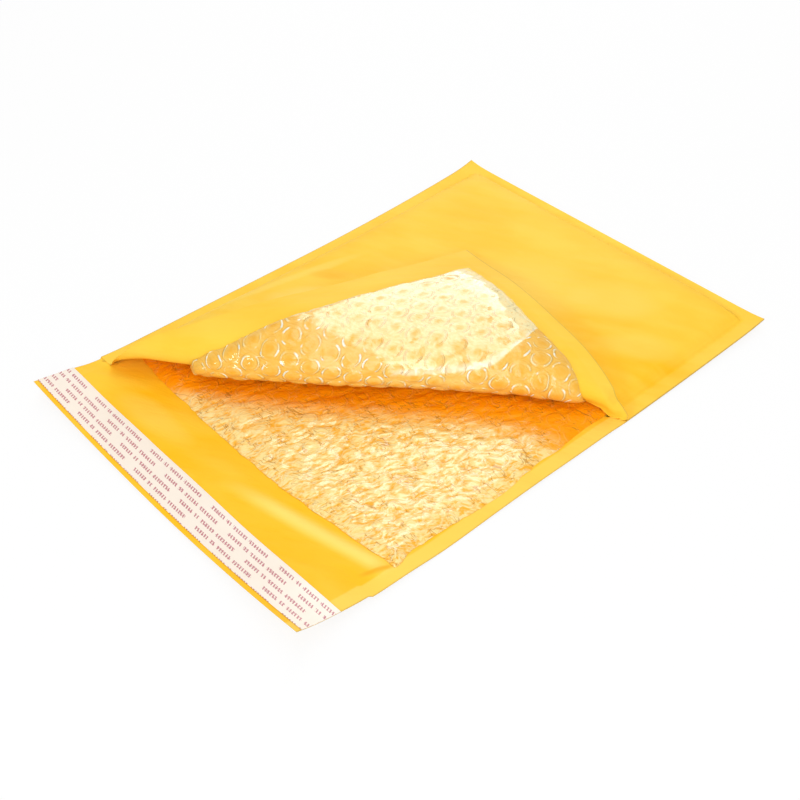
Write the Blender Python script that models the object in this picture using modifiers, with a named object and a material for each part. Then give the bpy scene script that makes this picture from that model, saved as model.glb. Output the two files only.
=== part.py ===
"""A bubble mailer lying open, with the corner of its front panel folded back.

One sheet of yellow skin makes the flap, the back panel and the front panel,
which meet in a pressed fold at the closed end. The far side is sealed along
its whole length. The near side is sealed only behind the point where the front
panel turns back over itself. A bubble lining lies inside both panels, and the
flap carries a band of adhesive under its release liner.

In the flat sheets u runs across the mailer from its far side, and v from the
end of the flap to the closed end. The finished pieces hang on an empty that
puts the origin under the middle of the mailer, with z up from the surface that
it lies on.
"""
import bmesh
import bpy
from math import cos, hypot, pi, sin, sqrt
from mathutils import Vector
from mathutils.geometry import delaunay_2d_cdt

# Flat size of the mailer
WIDTH = 0.230
BODY_LENGTH = 0.280
FLAP_LENGTH = 0.040
FLAP_TRIM = 0.0012
SKIN = 0.0003
SIDE_SEAM = 0.009
END_CREASE = 0.005
SEAT = 0.0004

# Bubble lining
LINING = 0.0032
LINING_RIM = 0.0006
LINING_TAPER = 0.014
LINING_FROM_SIDE = 0.0104
LINING_FROM_MOUTH = 0.0155
LINING_FROM_END = 0.008
LINING_END_WEB = 0.004
BUBBLE_PITCH = 0.0115
BUBBLE_TOP_RADIUS = 0.0035
BUBBLE_RELIEF = 0.0006

# Pillow form of the closed part
POCKET_GAP = 0.0016
MOUTH_GAP = 0.0044
MOUTH_GAP_REACH = 0.110
SIDE_ROUNDING = 0.022
MOUTH_SINK = 0.15
EDGE_LIFT_REACH = 0.035
FAR_END_LIFT = 0.0066
NEAR_END_LIFT = 0.0037
END_LIFT_LENGTH = 0.145

# Curl of the flap
CURL_LENGTH = 0.060
CURL_FAR = 0.0078
CURL_NEAR = 0.0117
CURL_MIDDLE = 0.0012

# Corner of the front panel, folded back over itself in a soft roll
OPENED_SEAM = 0.1675
TIGHT_RADIUS = 0.0005
ROLL_RADIUS = 0.0105
ROLL_SKEW = 0.14
ROLL_SLACK = 0.88
ROLL_LEAN = 0.31
BOW_BACK = 0.0134
BOW_TILT = 0.0045
LANDING = 0.127
LAID_CLEARANCE = 0.0006
ROLL_SEAT = 0.0005

# Closing strip on the flap
STRIP_INSET = 0.0004
LINER_FROM_END = 0.0025
LINER_WIDTH = 0.0205
LINER_THICKNESS = 0.0002
ADHESIVE_WIDTH = 0.014
ADHESIVE_THICKNESS = 0.0002

# Spacing of the mesh lines
PANEL_STEP = 0.015
EDGE_STEP = 0.0075
FREE_EDGE_STEP = 0.003
FLAP_STEP = 0.010
BUBBLES_DRAWN = 0.040
ROLL_MARGIN = 0.005
ROLL_FACETS = 6
TRIM_STEP = 0.0015

LENGTH = FLAP_LENGTH + BODY_LENGTH
OPEN_TO = FLAP_LENGTH + OPENED_SEAM
FOLD_DX = WIDTH - SIDE_SEAM
FOLD_LENGTH = hypot(FOLD_DX, OPENED_SEAM)
FOLD_X = FOLD_DX / FOLD_LENGTH
FOLD_Y = OPENED_SEAM / FOLD_LENGTH
LINING_PAPER = SKIN + SEAT
LINING_HELD = LINING_PAPER + 0.7 * LINING


def ease(t):
    """Smooth step from 0 to 1."""
    t = min(max(t, 0.0), 1.0)
    return t * t * (3.0 - 2.0 * t)


def rounding(distance, reach):
    """Quarter circle that rises from 0 to 1 over reach."""
    t = min(max(distance / reach, 0.0), 1.0)
    return sqrt(1.0 - (1.0 - t) ** 2)


def lift(u, v):
    """Height of the underside: the flap curls and the closed edges rise."""
    curl = max(1.0 - v / CURL_LENGTH, 0.0) ** 2
    corner = CURL_FAR if u < WIDTH / 2 else CURL_NEAR
    across = (2.0 * u / WIDTH - 1.0) ** 2
    flap = curl * (CURL_MIDDLE + (corner - CURL_MIDDLE) * across)
    along = max(1.0 - (LENGTH - v) / END_LIFT_LENGTH, 0.0) ** 2
    far = FAR_END_LIFT * along * max(1.0 - u / EDGE_LIFT_REACH, 0.0) ** 2
    near = NEAR_END_LIFT * along * max(1.0 - (WIDTH - u) / EDGE_LIFT_REACH, 0.0) ** 2
    end = FAR_END_LIFT + (NEAR_END_LIFT - FAR_END_LIFT) * u / WIDTH
    end *= max(1.0 - (LENGTH - v) / EDGE_LIFT_REACH, 0.0) ** 2
    return flap + (far ** 3 + near ** 3 + end ** 3) ** (1 / 3)


def fold_frame(u, v):
    """Distance along the fold, and across it towards the free corner."""
    du = u - SIDE_SEAM
    dv = v - FLAP_LENGTH
    return du * FOLD_X + dv * FOLD_Y, du * FOLD_Y - dv * FOLD_X


def arch(s, skew):
    """0 at both ends of the fold and 1 between, nearer the far side with skew."""
    t = min(max(s / FOLD_LENGTH, 0.0), 1.0)
    return max(sin(pi * min(t + skew * t * (1.0 - t), 1.0)), 0.0)


def bow(s):
    """How far the fold strays from a straight line."""
    t = pi * min(max(s / FOLD_LENGTH, 0.0), 1.0)
    return BOW_TILT * sin(2.0 * t) - BOW_BACK * sin(t)


def roll_radius(s):
    return TIGHT_RADIUS + ROLL_RADIUS * sqrt(arch(s, ROLL_SKEW))


def roll_stretch(s):
    """The roll sags, so it is wider than it is high."""
    t = min(max(s / FOLD_LENGTH, 0.0), 1.0)
    return 1.0 + ROLL_SLACK * (1.0 + ROLL_LEAN * cos(pi * t)) * arch(s, 0.0)


def held_radius(s, held):
    """Radius whose arc is as long as the sheet that it takes up."""
    return (roll_radius(s) + held) * (1.0 + roll_stretch(s)) / 2.0


def top(u, v):
    """Height of the front panel's outer face where it lies flat."""
    s, d = fold_frame(u, v)
    gap = POCKET_GAP + (MOUTH_GAP - POCKET_GAP) * arch(s, 1.0) * (1.0 - ease(-d / MOUTH_GAP_REACH))
    full = rounding(u - SIDE_SEAM, SIDE_ROUNDING) * rounding(WIDTH - SIDE_SEAM - u, SIDE_ROUNDING)
    full *= rounding(LENGTH - END_CREASE - v, SIDE_ROUNDING)
    full *= 1.0 - MOUTH_SINK * (1.0 - ease((v - FLAP_LENGTH) / LINING_FROM_MOUTH))
    return lift(u, v) + 2.0 * SKIN + (2.0 * SEAT + 2.0 * LINING + gap) * full


def trimmed(u, v):
    """Place across the mailer: the flap is cut a little narrower than the body."""
    inset = FLAP_TRIM * (1.0 - ease((v - FLAP_LENGTH + TRIM_STEP) / TRIM_STEP))
    return u + inset * (1.0 - 2.0 * u / WIDTH)


def back_point(u, v, depth):
    """A point of the back panel, depth inside its outer face."""
    return Vector((trimmed(u, v), v, lift(u, v) + depth))


def front_point(u, v, depth, held):
    """A point of the front panel: flat, then round the roll, then laid back.

    Held is the depth whose length stays the same round the roll, so it is 0 for
    the skin. The lining has its own, and stands a little off the skin there.
    """
    s, d = fold_frame(u, v)
    start = bow(s)
    run = d - start
    if run <= 0.0:
        return Vector((u, v, top(u, v) - depth))
    radius = roll_radius(s)
    arc = held_radius(s, held)
    turn = min(run / arc, pi)
    past = max(run - pi * arc, 0.0)
    if held > 0.0:
        depth += ROLL_SEAT * ease(turn) * (1.0 - ease(past / LANDING))
    off = start + (radius + depth) * roll_stretch(s) * sin(turn) - past
    x, y = fold_place(s, off)
    if past <= 0.0:
        z = top(*fold_place(s, start)) + radius - (radius + depth) * cos(turn)
    else:
        space = 2.0 * radius * (1.0 - ease(past / LANDING))
        z = top(x, y) + space + LAID_CLEARANCE * ease(past / 0.02) + depth
    return Vector((x, y, z))


def fold_place(s, d):
    """The flat point that lies s along the fold and d across it."""
    return SIDE_SEAM + s * FOLD_X + d * FOLD_Y, FLAP_LENGTH + s * FOLD_Y - d * FOLD_X


def fold_v(u):
    """Where the fold crosses a line along the mailer."""
    v = FLAP_LENGTH
    for _ in range(60):
        s, d = fold_frame(u, v)
        v += 0.8 * (d - bow(s)) / FOLD_X
    return v


def rim_distance(u, v):
    """Distance from the nearest free edge of the lining."""
    return min(u - LINING_FROM_SIDE, WIDTH - LINING_FROM_SIDE - u, v - FLAP_LENGTH - LINING_FROM_MOUTH)


def lining_depth(u, v, relief, join):
    """Depth of the lining's film face, which closes where its two panels join."""
    body = LINING - BUBBLE_RELIEF * (1.0 - relief)
    taper = min(max(1.0 - rim_distance(u, v) / LINING_TAPER, 0.0), 1.0)
    thick = LINING_RIM + (body - LINING_RIM) * (1.0 - taper ** 2)
    half = (top(u, v) - lift(u, v)) / 2.0 - LINING_PAPER
    blend = 0.0 if join is None else ease(1.0 - (join - v) / LINING_TAPER)
    return LINING_PAPER + thick + (half - thick) * blend


def chain(points, step):
    """Points along a line of corners, no further apart than step."""
    line = [points[0]]
    for a, b in zip(points, points[1:]):
        n = max(1, round(hypot(b[0] - a[0], b[1] - a[1]) / step))
        line += [(a[0] + (b[0] - a[0]) * i / n, a[1] + (b[1] - a[1]) * i / n) for i in range(1, n + 1)]
    return line


def loop(*chains):
    """One closed outline from chains that follow each other."""
    return [p for c in chains for p in c[:-1]]


def within(outline, p, margin):
    """Whether a point lies inside an outline, at least margin from it."""
    x, y = p
    inside = False
    for (ax, ay), (bx, by) in zip(outline, outline[1:] + outline[:1]):
        if (ay > y) != (by > y) and x < ax + (bx - ax) * (y - ay) / (by - ay):
            inside = not inside
        ex, ey = bx - ax, by - ay
        t = min(max(((x - ax) * ex + (y - ay) * ey) / (ex * ex + ey * ey), 0.0), 1.0)
        if hypot(x - ax - t * ex, y - ay - t * ey) < margin:
            return False
    return inside


def steps(start, end, step):
    """Values from start to end, no further apart than step."""
    return [p[0] for p in chain([(start, 0.0), (end, 0.0)], step)]


def rounded_steps(start, end, step, both):
    """Mesh lines that crowd where the edge of the panel is rounded."""
    rim = (LINING_FROM_SIDE - SIDE_SEAM) / SIDE_ROUNDING
    crowd = [SIDE_ROUNDING * t for t in (0.0, rim, 0.14, 0.3, 0.5, 0.75)]
    first = [start + t for t in crowd] if both else []
    last = [end - t for t in reversed(crowd)]
    inner_start = start + SIDE_ROUNDING if both else start
    return first + steps(inner_start, end - SIDE_ROUNDING, step) + last


def grid(outline, columns):
    """Points of a grid that lie inside an outline, and the mesh lines between them."""
    index = {}
    points = []
    for i, column in enumerate(columns):
        for tag, p in column:
            if within(outline, p, 0.0012):
                index[i, tag] = len(points)
                points.append(p)
    pairs = []
    for i, column in enumerate(columns):
        tags = [tag for tag, _ in column]
        pairs += [((i, a), (i, b)) for a, b in zip(tags, tags[1:])]
        pairs += [((i, tag), (i + 1, tag)) for tag in tags]
    edges = []
    for a, b in pairs:
        if a in index and b in index:
            a, b = index[a], index[b]
            middle = [(m + n) / 2.0 for m, n in zip(points[a], points[b])]
            if within(outline, middle, 0.0004):
                edges.append((a, b))
    return points, edges


def back_grid(outline):
    """Mesh of the back panel, finer where the flap curls."""
    lines = steps(0.0, CURL_LENGTH, FLAP_STEP) + steps(CURL_LENGTH, LENGTH, PANEL_STEP)[1:]
    columns = [[(j, (u, v)) for j, v in enumerate(lines)]
               for u in steps(SIDE_SEAM, WIDTH - SIDE_SEAM, PANEL_STEP)]
    return grid(outline, columns)


def front_grid(outline, held):
    """Mesh of the front panel: flat lines, then rows round the roll and laid back."""
    columns = []
    lines = rounded_steps(FLAP_LENGTH, LENGTH - END_CREASE, PANEL_STEP, False)
    for u in rounded_steps(SIDE_SEAM, WIDTH - SIDE_SEAM, PANEL_STEP, True):
        s = fold_frame(u, fold_v(u))[0]
        flat = [(("flat", j), (u, v)) for j, v in enumerate(lines) if v > fold_v(u) + ROLL_MARGIN]
        arc = held_radius(s, held)
        runs = [pi * arc * i / ROLL_FACETS for i in range(ROLL_FACETS + 1)]
        runs += [pi * arc + past for past in steps(0.0, LANDING, PANEL_STEP)[1:]]
        rows = [(("row", j), fold_place(s, bow(s) + run)) for j, run in enumerate(runs)]
        columns.append(flat[::-1] + rows)
    return grid(outline, columns)


def bubble_cells(outline, shown, drawn, plain):
    """Hexagon cells of the bubble pattern: points, their relief, and cell edges.

    Cells as far behind the fold as shown are full bubbles, and those up to drawn
    are plain pillows. Deep in the pocket the film is left smooth.
    """
    corner = BUBBLE_PITCH / sqrt(3.0)
    row_step = BUBBLE_PITCH * sqrt(3.0) / 2.0
    turns = [(cos(pi / 6 + k * pi / 3), sin(pi / 6 + k * pi / 3)) for k in range(6)]
    points = {}
    edges = {}

    def keep(x, y, relief):
        key = (round(x * 1e5), round(y * 1e5))
        points.setdefault(key, (x, y, relief))
        return key

    for row in range(int(LENGTH / row_step) + 2):
        for column in range(int(WIDTH / BUBBLE_PITCH) + 2):
            x = (column + 0.5 * (row % 2)) * BUBBLE_PITCH
            y = row * row_step
            behind = -fold_frame(x, y)[1]
            ring = [(x + corner * a, y + corner * b) for a, b in turns]
            if behind > drawn or not all(within(outline, p, 0.002) for p in ring):
                continue
            keys = [keep(*p, 0.0) for p in ring]
            for pair in zip(keys, keys[1:] + keys[:1]):
                edges[tuple(sorted(pair))] = True
            keep(x, y, 1.0)
            if behind < shown:
                for a, b in turns:
                    keep(x + BUBBLE_TOP_RADIUS * a, y + BUBBLE_TOP_RADIUS * b, 0.85)
    for x, y in plain:
        if -fold_frame(x, y)[1] > drawn + BUBBLE_PITCH:
            keep(x, y, 0.0)
    index = {key: i for i, key in enumerate(points)}
    return list(points.values()), [(index[a], index[b]) for a, b in edges]


class Body:
    """A closed mesh sewn together from sheets and the walls along their edges."""

    def __init__(self):
        self.mesh = bmesh.new()
        self.verts = {}

    def vert(self, point):
        key = tuple(round(c * 1e7) for c in point)
        if key not in self.verts:
            self.verts[key] = self.mesh.verts.new(point)
        return self.verts[key]

    def face(self, points):
        verts = []
        for point in points:
            vert = self.vert(point)
            if vert not in verts:
                verts.append(vert)
        if len(verts) > 2:
            self.mesh.faces.new(verts)

    def sheet(self, outline, inner, edges, place):
        """Fill an outline with triangles over its points, placed in space."""
        points = [(x, y, 0.0) for x, y in outline] + [(*p, 0.0)[:3] for p in inner]
        n = len(outline)
        rim = [(i, (i + 1) % n) for i in range(n)]
        held = rim + [(a + n, b + n) for a, b in edges]
        flat = [Vector((x * 1000.0, y * 1000.0)) for x, y, _ in points]
        result = delaunay_2d_cdt(flat, held, [], 1, 1e-5)
        source = [found[0] for found in result[3]]
        for triangle in result[2]:
            self.face([place(*points[source[i]]) for i in triangle])

    def wall(self, line, low, high):
        """Join two sheets along a shared line."""
        for a, b in zip(line, line[1:]):
            self.face([low(*a), low(*b), high(*b), high(*a)])

    def sealed_wall(self, line, low, high, middle):
        """Join two sheets where a third one ends at the line's first point."""
        a, b = line[0], line[1]
        self.face([middle(*a), low(*a), low(*b)])
        self.face([middle(*a), low(*b), high(*b)])
        self.face([middle(*a), high(*b), high(*a)])
        self.wall(line[1:], low, high)

    def finish(self, name, material, collection):
        bmesh.ops.recalc_face_normals(self.mesh, faces=self.mesh.faces)
        data = bpy.data.meshes.new(name)
        self.mesh.to_mesh(data)
        self.mesh.free()
        data.materials.append(material)
        data.shade_smooth()
        data.set_sharp_from_angle(angle=0.9)
        item = bpy.data.objects.new(name, data)
        collection.objects.link(item)
        return item


def make_material(name, colour, roughness):
    material = bpy.data.materials.new(name)
    material.use_nodes = True
    shader = material.node_tree.nodes["Principled BSDF"]
    shader.inputs["Base Color"].default_value = (*colour, 1.0)
    shader.inputs["Roughness"].default_value = roughness
    shader.inputs["Metallic"].default_value = 0.0
    return material


def make_envelope(material, collection):
    """The skin: fused along the far side, the end and what is left of the near seam."""
    far, near = SIDE_SEAM, WIDTH - SIDE_SEAM
    end = LENGTH - END_CREASE
    shoulder = FLAP_LENGTH - TRIM_STEP
    far_flap = chain([(0.0, 0.0), (0.0, shoulder)], FLAP_STEP) + [(0.0, FLAP_LENGTH)]
    far_seam = chain([(0.0, FLAP_LENGTH), (0.0, LENGTH)], EDGE_STEP)
    closed_end = chain([(0.0, LENGTH), (WIDTH, LENGTH)], EDGE_STEP)
    near_seam = chain([(WIDTH, LENGTH), (WIDTH, OPEN_TO)], EDGE_STEP)
    near_back = chain([(WIDTH, OPEN_TO), (WIDTH, FLAP_LENGTH)], FLAP_STEP)
    near_back += chain([(WIDTH, shoulder), (WIDTH, 0.0)], FLAP_STEP)
    flap_end = chain([(WIDTH, 0.0), (0.0, 0.0)], FLAP_STEP)
    front_side = chain([(WIDTH, OPEN_TO), (WIDTH, FLAP_LENGTH)], FREE_EDGE_STEP)
    front_mouth = chain([(WIDTH, FLAP_LENGTH), (far, FLAP_LENGTH)], FREE_EDGE_STEP)
    step = chain([(far, FLAP_LENGTH), (0.0, FLAP_LENGTH)], EDGE_STEP)
    inner_far = chain([(far, FLAP_LENGTH), (far, end)], EDGE_STEP)
    inner_end = chain([(far, end), (near, end)], EDGE_STEP)
    inner_near = chain([(near, end), (near, fold_v(near))], EDGE_STEP)
    corner = [(near + SIDE_SEAM * t, fold_v(near + SIDE_SEAM * t)) for t in (0.0, 0.35, 0.7)]
    corner.append((WIDTH, OPEN_TO))

    def back_out(u, v, _=0.0):
        return back_point(u, v, 0.0)

    def back_in(u, v, _=0.0):
        return back_point(u, v, SKIN)

    def front_out(u, v, _=0.0):
        return front_point(u, v, 0.0, 0.0)

    def front_in(u, v, _=0.0):
        return front_point(u, v, SKIN, 0.0)

    body = Body()
    outline = loop(far_flap, far_seam, closed_end, near_seam, near_back, flap_end)
    body.sheet(outline, *back_grid(outline), back_out)
    outline = loop(far_flap, step[::-1], inner_far, inner_end, inner_near, corner, near_back, flap_end)
    body.sheet(outline, *back_grid(outline), back_in)
    outline = loop(far_seam, closed_end, near_seam, front_side, front_mouth, step)
    body.sheet(outline, *front_grid(outline, 0.0), front_out)
    outline = loop(inner_far, inner_end, inner_near, corner, front_side, front_mouth)
    body.sheet(outline, *front_grid(outline, 0.0), front_in)
    body.wall(far_flap, back_out, back_in)
    body.wall(flap_end, back_out, back_in)
    body.wall(near_back, back_out, back_in)
    body.wall(step, back_in, front_out)
    body.wall(front_mouth, front_out, front_in)
    body.wall(front_side, front_out, front_in)
    body.wall(closed_end, back_out, front_out)
    body.sealed_wall(far_seam, back_out, front_out, back_in)
    body.sealed_wall(near_seam[::-1], back_out, front_out, back_in)
    return body.finish("outer_envelope", material, collection)


def make_lining(material, collection):
    """The bubble web: one piece that turns at the closed end and lines both panels."""
    far, near = LINING_FROM_SIDE, WIDTH - LINING_FROM_SIDE
    mouth = FLAP_LENGTH + LINING_FROM_MOUTH
    end = LENGTH - LINING_FROM_END
    join = end - LINING_END_WEB
    far_side = chain([(far, mouth), (far, join)], EDGE_STEP)
    far_web = [(far, join), (far, end)]
    closed_end = chain([(far, end), (near, end)], EDGE_STEP)
    inner_end = chain([(far, join), (near, join)], EDGE_STEP)
    near_web = [(near, end), (near, join)]
    near_side = chain([(near, join), (near, OPEN_TO)], EDGE_STEP)
    near_side += chain([(near, OPEN_TO), (near, mouth)], FREE_EDGE_STEP)[1:]
    free_end = chain([(near, mouth), (far, mouth)], FREE_EDGE_STEP)

    def back_paper(u, v, _=0.0):
        return back_point(u, v, LINING_PAPER)

    def back_film(u, v, relief=0.0):
        return back_point(u, v, lining_depth(u, v, relief, join))

    def front_paper(u, v, _=0.0):
        return front_point(u, v, LINING_PAPER, LINING_HELD)

    def front_film(u, v, relief=0.0):
        return front_point(u, v, lining_depth(u, v, relief, join), LINING_HELD)

    body = Body()
    outline = loop(far_side, far_web, closed_end, near_web, near_side, free_end)
    body.sheet(outline, *back_grid(outline), back_paper)
    body.sheet(outline, *front_grid(outline, LINING_HELD), front_paper)
    outline = loop(far_side, inner_end, near_side, free_end)
    cells = bubble_cells(outline, BUBBLE_PITCH, BUBBLES_DRAWN, back_grid(outline)[0])
    body.sheet(outline, *cells, back_film)
    cells = bubble_cells(outline, 0.0, BUBBLES_DRAWN, front_grid(outline, LINING_HELD)[0])
    body.sheet(outline, *cells, front_film)
    body.wall(far_side, back_paper, back_film)
    body.wall(near_side, back_paper, back_film)
    body.wall(free_end, back_paper, back_film)
    body.wall(far_side, front_paper, front_film)
    body.wall(near_side, front_paper, front_film)
    body.wall(free_end, front_paper, front_film)
    body.wall(closed_end, back_paper, front_paper)
    body.sealed_wall(far_web, back_paper, front_paper, back_film)
    body.sealed_wall(near_web[::-1], back_paper, front_paper, back_film)
    return body.finish("bubble_lining", material, collection)


def make_strip(name, width, from_end, height, thickness, material, collection):
    """A thin band that follows the flap's curl."""
    bpy.ops.mesh.primitive_grid_add(x_subdivisions=18, y_subdivisions=2, size=1.0)
    item = bpy.context.object
    item.name = name
    item.data.name = name
    for vert in item.data.vertices:
        u = WIDTH / 2 + vert.co.x * (WIDTH - 2.0 * STRIP_INSET)
        v = from_end + (vert.co.y + 0.5) * width
        vert.co = (trimmed(u, v), v, lift(u, v) + height)
    shell = item.modifiers.new("Thickness", 'SOLIDIFY')
    shell.thickness = thickness
    shell.offset = 1.0
    item.data.materials.append(material)
    item.data.shade_smooth()
    item.data.set_sharp_from_angle(angle=0.9)
    for owner in list(item.users_collection):
        owner.objects.unlink(item)
    collection.objects.link(item)
    return item


for old in list(bpy.data.objects):
    bpy.data.objects.remove(old, do_unlink=True)

mailer = bpy.data.collections.new("Bubble mailer")
bpy.context.scene.collection.children.link(mailer)

skin_yellow = make_material("Golden yellow skin", (0.93, 0.50, 0.07), 0.62)
clear_film = make_material("Clear bubble film", (0.95, 0.72, 0.36), 0.18)
adhesive_clear = make_material("Pale adhesive", (0.86, 0.80, 0.62), 0.35)
liner_white = make_material("White release liner", (0.88, 0.80, 0.78), 0.45)

envelope = make_envelope(skin_yellow, mailer)
lining = make_lining(clear_film, mailer)

adhesive_height = SKIN + SEAT
liner_height = adhesive_height + ADHESIVE_THICKNESS + SEAT
adhesive_from_end = LINER_FROM_END + (LINER_WIDTH - ADHESIVE_WIDTH) / 2
adhesive = make_strip("adhesive_strip", ADHESIVE_WIDTH, adhesive_from_end, adhesive_height,
                      ADHESIVE_THICKNESS, adhesive_clear, mailer)
liner = make_strip("release_liner", LINER_WIDTH, LINER_FROM_END, liner_height,
                   LINER_THICKNESS, liner_white, mailer)

centre = bpy.data.objects.new("Centre of the mailer", None)
centre.location = (-WIDTH / 2, -LENGTH / 2, 0.0)
mailer.objects.link(centre)
for piece in (envelope, lining, adhesive, liner):
    piece.parent = centre
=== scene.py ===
from math import ceil, cos, hypot, pi, radians, sin, sqrt, tan

import bmesh
import bpy
import numpy as np
from mathutils import Matrix, Vector


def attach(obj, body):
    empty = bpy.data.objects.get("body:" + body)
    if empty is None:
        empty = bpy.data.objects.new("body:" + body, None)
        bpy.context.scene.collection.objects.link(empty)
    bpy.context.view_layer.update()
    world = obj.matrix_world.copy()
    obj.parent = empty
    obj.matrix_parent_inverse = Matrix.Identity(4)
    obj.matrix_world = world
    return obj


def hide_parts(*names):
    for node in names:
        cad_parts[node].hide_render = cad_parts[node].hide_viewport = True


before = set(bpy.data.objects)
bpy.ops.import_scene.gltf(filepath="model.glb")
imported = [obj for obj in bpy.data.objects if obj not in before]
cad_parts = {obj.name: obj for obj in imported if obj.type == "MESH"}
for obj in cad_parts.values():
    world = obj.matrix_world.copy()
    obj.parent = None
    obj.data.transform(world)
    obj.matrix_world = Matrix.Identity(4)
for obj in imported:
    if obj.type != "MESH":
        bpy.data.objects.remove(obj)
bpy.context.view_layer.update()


# Camera. It looks down on the open mailer from beyond its near side, turned so
# that the flap comes towards the lower left, with a moderately long lens.
EYE = Vector((0.3855, -0.3223, 0.4116))
TURN, TILT, ROLL = -0.8819, 0.7204, -0.0481

forward = Vector((cos(TILT) * sin(TURN), cos(TILT) * cos(TURN), -sin(TILT)))
level = forward.cross(Vector((0.0, 0.0, 1.0))).normalized()
upright = level.cross(forward)
right = cos(ROLL) * level + sin(ROLL) * upright
above = cos(ROLL) * upright - sin(ROLL) * level
camera_data = bpy.data.cameras.new("Camera")
camera_data.sensor_width = 36.0
camera_data.lens = 54.17
camera = bpy.data.objects.new("Camera", camera_data)
camera.matrix_world = Matrix((
    (right.x, above.x, -forward.x, EYE.x),
    (right.y, above.y, -forward.y, EYE.y),
    (right.z, above.z, -forward.z, EYE.z),
    (0.0, 0.0, 0.0, 1.0),
))
bpy.context.scene.collection.objects.link(camera)
bpy.context.scene.camera = camera


# Skin. One sheet of matt golden-yellow film makes the flap, the back and the
# front. It is folded at the closed end and welded along its sides, and the
# front's free corner is turned back over it in a soft roll.
WIDTH = 0.230
FLAP = 0.040
LENGTH = 0.320
SKIN = 0.0003
SEAM = 0.009
END_CREASE = 0.005
OPENED_SEAM = 0.1675
OPEN_TO = FLAP + OPENED_SEAM
FROM_MOUTH = 0.0155
SEAT = 0.0004
LINING = 0.0032
LINING_PAPER = SKIN + SEAT
LINING_HELD = LINING_PAPER + 0.7 * LINING


def ease(t):
    """Smooth step from 0 to 1."""
    t = np.clip(t, 0.0, 1.0)
    return t * t * (3.0 - 2.0 * t)


def hill(distance, wide):
    """Soft hill of height 1 along a line."""
    return np.exp(-(distance / wide) ** 2)


def rounding(distance, reach):
    """Quarter circle that rises from 0 to 1 over reach."""
    t = np.clip(distance / reach, 0.0, 1.0)
    return np.sqrt(1.0 - (1.0 - t) ** 2)


CURL = 0.060
CURL_MIDDLE, CURL_FAR, CURL_NEAR = 0.0012, 0.0078, 0.0117
RISE_ALONG, RISE_ACROSS = 0.145, 0.035
RISE_FAR, RISE_NEAR = 0.0066, 0.0037


def lift(u, v):
    """Height of the underside: the flap curls and the closed edges rise."""
    curl = np.clip(1.0 - v / CURL, 0.0, 1.0) ** 2
    corner = np.where(u < WIDTH / 2, CURL_FAR, CURL_NEAR)
    flap = curl * (CURL_MIDDLE + (corner - CURL_MIDDLE) * (2.0 * u / WIDTH - 1.0) ** 2)
    along = np.clip(1.0 - (LENGTH - v) / RISE_ALONG, 0.0, 1.0) ** 2
    far = RISE_FAR * along * np.clip(1.0 - u / RISE_ACROSS, 0.0, 1.0) ** 2
    near = RISE_NEAR * along * np.clip(1.0 - (WIDTH - u) / RISE_ACROSS, 0.0, 1.0) ** 2
    end = RISE_FAR - (RISE_FAR - RISE_NEAR) * u / WIDTH
    end = end * np.clip(1.0 - (LENGTH - v) / RISE_ACROSS, 0.0, 1.0) ** 2
    return flap + np.cbrt(far ** 3 + near ** 3 + end ** 3)


FOLD_LENGTH = hypot(WIDTH - SEAM, OPENED_SEAM)
FOLD_X = (WIDTH - SEAM) / FOLD_LENGTH
FOLD_Y = OPENED_SEAM / FOLD_LENGTH


def fold_frame(u, v):
    """Distance along the fold, and across it towards the free corner."""
    du = u - SEAM
    dv = v - FLAP
    return du * FOLD_X + dv * FOLD_Y, du * FOLD_Y - dv * FOLD_X


def fold_place(s, d):
    """The flat point that lies s along the fold and d across it."""
    return SEAM + s * FOLD_X + d * FOLD_Y, FLAP + s * FOLD_Y - d * FOLD_X


def arch(s, skew):
    """0 at both ends of the fold and 1 between, nearer the far side with skew."""
    t = np.clip(s / FOLD_LENGTH, 0.0, 1.0)
    return np.clip(np.sin(pi * np.minimum(t + skew * t * (1.0 - t), 1.0)), 0.0, 1.0)


BOW = 0.0134
SWAY = 0.0045


def bow(s):
    """How far the fold strays from a straight line."""
    t = pi * np.clip(s / FOLD_LENGTH, 0.0, 1.0)
    return SWAY * np.sin(2.0 * t) - BOW * np.sin(t)


ROLL_TIP = 0.0005
ROLL_RADIUS = 0.0105
ROLL_SKEW = 0.14
SAG = 0.88
SAG_LEAN = 0.31


def roll_radius(s):
    """The roll is nearly closed at its tips, and widest on the far side of its middle."""
    return ROLL_TIP + ROLL_RADIUS * np.sqrt(arch(s, ROLL_SKEW))


def roll_stretch(s):
    """The roll sags, so it is wider than it is high."""
    t = np.clip(s / FOLD_LENGTH, 0.0, 1.0)
    return 1.0 + SAG * (1.0 + SAG_LEAN * np.cos(pi * t)) * arch(s, 0.0)


def noise(u, v, size, seed):
    """Smooth random height from -1 to 1, whose hills are about size apart."""
    cells = 64
    table = np.random.default_rng(seed).uniform(-1.0, 1.0, (cells, cells))
    i, j = np.floor(u / size).astype(int), np.floor(v / size).astype(int)
    p, q = ease(u / size - i), ease(v / size - j)
    i, j, after_i, after_j = i % cells, j % cells, (i + 1) % cells, (j + 1) % cells
    near = table[i, j] * (1.0 - p) + table[after_i, j] * p
    far = table[i, after_j] * (1.0 - p) + table[after_i, after_j] * p
    return near * (1.0 - q) + far * q


SWELL, SWELL_SIZE = 0.0009, 0.045
SMALL_SWELL, SMALL_SWELL_SIZE = 0.0003, 0.019
GAP_TIP = 0.0016
GAP = 0.0028
GAP_REACH = 0.110
ROUNDING = 0.022
NEAR_ROUNDING = 1.7 * ROUNDING
WELD_EASE = 0.0035
MOUTH_PINCH = 0.15


def swell(u, v):
    """Slow unevenness of the padded front, in metres."""
    a = noise(0.8 * u + 0.6 * v, 0.8 * v - 0.6 * u, SWELL_SIZE, 1)
    b = noise(u + 0.5 * v, v, SMALL_SWELL_SIZE, 2)
    return SWELL * a + SMALL_SWELL * b


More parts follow.
